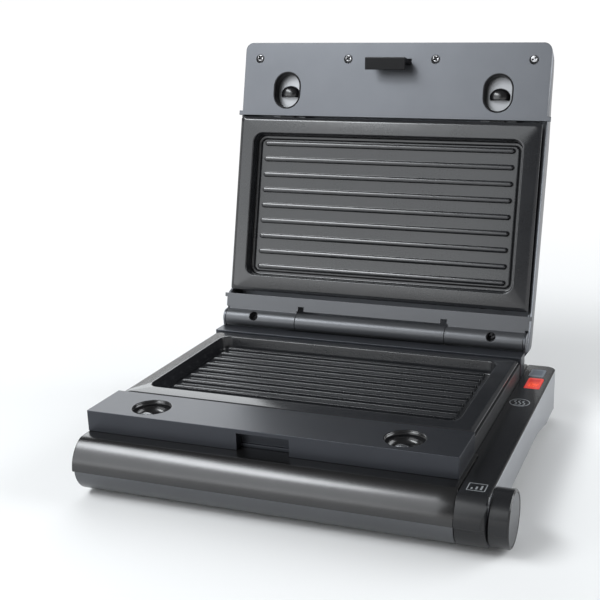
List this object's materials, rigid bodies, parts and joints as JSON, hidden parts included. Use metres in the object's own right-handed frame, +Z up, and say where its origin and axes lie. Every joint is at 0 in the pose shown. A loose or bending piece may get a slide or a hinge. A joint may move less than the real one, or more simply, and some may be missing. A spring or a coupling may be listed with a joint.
{
  "type": "electric countertop grill with hinged lid",
  "caption": "Open countertop contact grill: ribbed plates in base and floating hinged lid, sprung plate releases, front latch hook, side arm with two indicator lenses and a control knob.",
  "frame": {"origin": "on the table, below the middle of the lower grill plate", "axes": "+X to the right (arm and knob side), +Y to the back (hinge side), +Z up; the lid is open at rest"},
  "size_m": [0.3204, 0.344, 0.3065],
  "materials": {
    "gunmetal_plastic": "metallic grey moulded plastic, satin",
    "lid_plastic": "metallic grey moulded plastic, satin",
    "light_plastic": "light metallic grey moulded plastic, satin",
    "dark_plastic": "near-black moulded plastic",
    "nonstick": "dark grey non-stick coating on cast aluminium",
    "bare_steel": "plain steel",
    "chrome_steel": "plated steel screws and pins",
    "element_steel": "heat-tinted steel sheath",
    "ceramic_white": "white ceramic and heat-proof plastic",
    "foot_rubber": "soft black rubber",
    "wire_pvc": "silicone wire insulation",
    "red_lens": "red translucent lens",
    "grey_lens": "smoked grey translucent lens",
    "lamp_glass": "neon indicator lamps"
  },
  "bodies": {
    "root": {"base_casing": "dark_plastic", "bottom_cover": "dark_plastic", "base_screws": "chrome_steel", "front_feet": "foot_rubber", "rear_feet": "foot_rubber", "roll_shell": "gunmetal_plastic", "roll_lower_shell": "gunmetal_plastic", "front_bar": "lid_plastic", "rear_deck": "lid_plastic", "float_guides": "dark_plastic", "lower_reflector": "bare_steel", "lower_heating_element": "element_steel", "lower_thermal_fuse": "ceramic_white", "terminal_block": "ceramic_white", "cord_gland": "dark_plastic", "arm_cover": "light_plastic", "arm_lower_cover": "dark_plastic", "arm_wires": "wire_pvc", "lamp_holder": "ceramic_white", "indicator_lamps": "lamp_glass", "red_lens": "red_lens", "grey_lens": "grey_lens", "thermostat": "ceramic_white"},
    "knob_body": {"thermostat_shaft": "bare_steel", "knob": "light_plastic", "knob_cap": "light_plastic"},
    "lower_plate": {"lower_grill_plate": "nonstick"},
    "base_release_left": {"lower_release_left": "dark_plastic", "lower_spring_left": "bare_steel"},
    "base_release_right": {"lower_release_right": "dark_plastic", "lower_spring_right": "bare_steel"},
    "carriage": {"hinge_carriage": "gunmetal_plastic", "hinge_pin": "bare_steel"},
    "lid": {"lid_cover": "light_plastic", "lid_front_panel": "lid_plastic", "lid_rear_panel": "lid_plastic", "panel_screws": "chrome_steel", "hinge_screws": "chrome_steel", "upper_reflector": "bare_steel", "upper_heating_element": "element_steel", "upper_thermal_fuse": "ceramic_white", "latch_pin": "chrome_steel", "latch_spring": "bare_steel"},
    "upper_plate": {"upper_grill_plate": "nonstick"},
    "lid_release_left": {"upper_catch_left": "bare_steel", "upper_thumb_left": "dark_plastic", "upper_spring_left": "bare_steel"},
    "lid_release_right": {"upper_catch_right": "bare_steel", "upper_thumb_right": "dark_plastic", "upper_spring_right": "bare_steel"},
    "latch": {"latch_hook": "dark_plastic"}
  },
  "joints": [
    {"name": "lid_float", "type": "slide", "parent": "root", "child": "carriage", "axis": [0, 0, 1], "range_m": [0, 0.01]},
    {"name": "lid_hinge", "type": "hinge", "parent": "carriage", "child": "lid", "pos_m": [0, 0.1055, 0.0654], "axis": [1, 0, 0], "range_deg": [0, 104.8]},
    {"name": "latch_pivot", "type": "hinge", "parent": "lid", "child": "latch", "pos_m": [0, 0.17639, 0.28829], "axis": [-1, 0, 0], "range_deg": [0, 18], "stiffness_Nm_per_rad": 0.05, "springref_deg": -17.19},
    {"name": "knob_turn", "type": "hinge", "parent": "root", "child": "knob_body", "pos_m": [0.17, -0.1273, 0.0225], "axis": [1, 0, 0], "range_deg": [0, 270]},
    {"name": "lower_plate_lift", "type": "slide", "parent": "root", "child": "lower_plate", "axis": [0, 0, -1], "range_m": [-0.03, 0]},
    {"name": "upper_plate_lift", "type": "slide", "parent": "lid", "child": "upper_plate", "axis": [0, 0.9668, -0.2554], "range_m": [-0.03, 0]},
    {"name": "base_release_left_slide", "type": "slide", "parent": "root", "child": "base_release_left", "axis": [0, -1, 0], "range_m": [0, 0.003], "stiffness_N_per_m": 300, "springref_m": -0.003},
    {"name": "base_release_right_slide", "type": "slide", "parent": "root", "child": "base_release_right", "axis": [0, -1, 0], "range_m": [0, 0.003], "stiffness_N_per_m": 300, "springref_m": -0.003},
    {"name": "lid_release_left_slide", "type": "slide", "parent": "lid", "child": "lid_release_left", "axis": [0, 0.2554, 0.9668], "range_m": [0, 0.003], "stiffness_N_per_m": 300, "springref_m": -0.003},
    {"name": "lid_release_right_slide", "type": "slide", "parent": "lid", "child": "lid_release_right", "axis": [0, 0.2554, 0.9668], "range_m": [0, 0.003], "stiffness_N_per_m": 300, "springref_m": -0.003}
  ]
}
